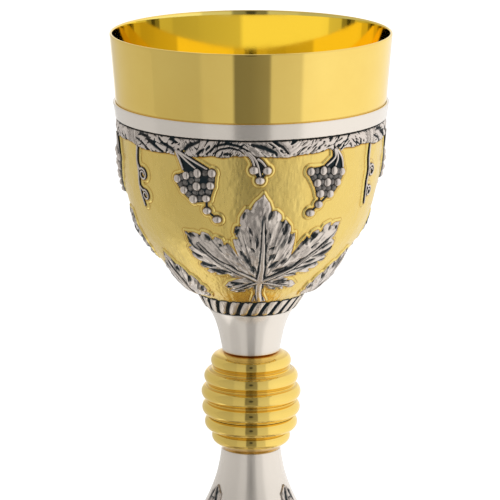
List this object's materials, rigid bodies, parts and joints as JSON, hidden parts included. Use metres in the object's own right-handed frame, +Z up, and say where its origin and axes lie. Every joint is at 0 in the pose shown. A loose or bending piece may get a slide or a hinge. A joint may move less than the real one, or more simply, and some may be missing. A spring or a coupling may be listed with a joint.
{
  "type": "communion chalice",
  "caption": "Gilt communion cup in a bowl shell with vine leaves and grapes, on a ringed knop and a flared foot, held together by a threaded rod and nut.",
  "frame": {"origin": "centre of the foot's resting face", "axes": "+Z up along the chalice's axis, one vine leaf faces -Y"},
  "size_m": [0.139, 0.139, 0.235],
  "materials": {
    "gilt_polished": "bright polished gold plate",
    "gilt_ground": "gold plate over a hand-worked, softly dimpled ground",
    "gilt_knop": "polished gold plate with fine turning lines",
    "silver_satin": "satin silver plate, brushed round the axis",
    "silver_foot": "satin silver plate, brushed round the axis",
    "silver_leaf": "antiqued silver plate, dark in the recesses",
    "silver_relief": "antiqued silver plate, dark in the recesses",
    "silver_rope": "antiqued silver plate, dark between the strands",
    "steel_zinc": "zinc-plated steel"
  },
  "bodies": {
    "chalice": {"cup": "gilt_polished", "cup_boss": "gilt_polished", "bowl_shell": "gilt_ground", "rim_band": "silver_satin", "vine_band": "silver_relief", "leaf_front": "silver_leaf", "leaf_right": "silver_leaf", "leaf_left": "silver_leaf", "low_leaf_right": "silver_leaf", "low_leaf_back": "silver_leaf", "low_leaf_left": "silver_leaf", "grapes_1": "silver_relief", "grapes_2": "silver_relief", "grapes_3": "silver_relief", "grapes_4": "silver_relief", "grapes_5": "silver_relief", "grapes_6": "silver_relief", "sprig_front": "silver_relief", "sprig_right": "silver_relief", "sprig_left": "silver_relief", "tendril_right": "silver_relief", "tendril_back": "silver_relief", "tendril_left": "silver_relief", "rope_ring": "silver_rope", "neck": "silver_satin", "knop": "gilt_knop", "foot_shell": "silver_foot", "foot_rim": "silver_foot", "foot_leaf_1": "silver_leaf", "foot_leaf_2": "silver_leaf", "foot_leaf_3": "silver_leaf", "foot_grapes_1": "silver_relief", "foot_grapes_2": "silver_relief", "foot_grapes_3": "silver_relief", "tie_rod": "steel_zinc"},
    "washers": {"washer": "steel_zinc", "lock_washer": "steel_zinc"},
    "nut": {"nut": "steel_zinc"}
  },
  "joints": [
    {"name": "washer_slide", "type": "slide", "parent": "chalice", "child": "washers", "axis": [0, 0, -1], "range_m": [0, 0.006]},
    {"name": "nut_turn", "type": "hinge", "parent": "washers", "child": "nut", "pos_m": [0, 0, 0.07], "axis": [0, 0, -1], "range_deg": [0, 2160]}
  ],
  "couplings": [
    {"joint": "nut_turn", "follows": "washer_slide", "rad_per_m": 6283.2}
  ]
}
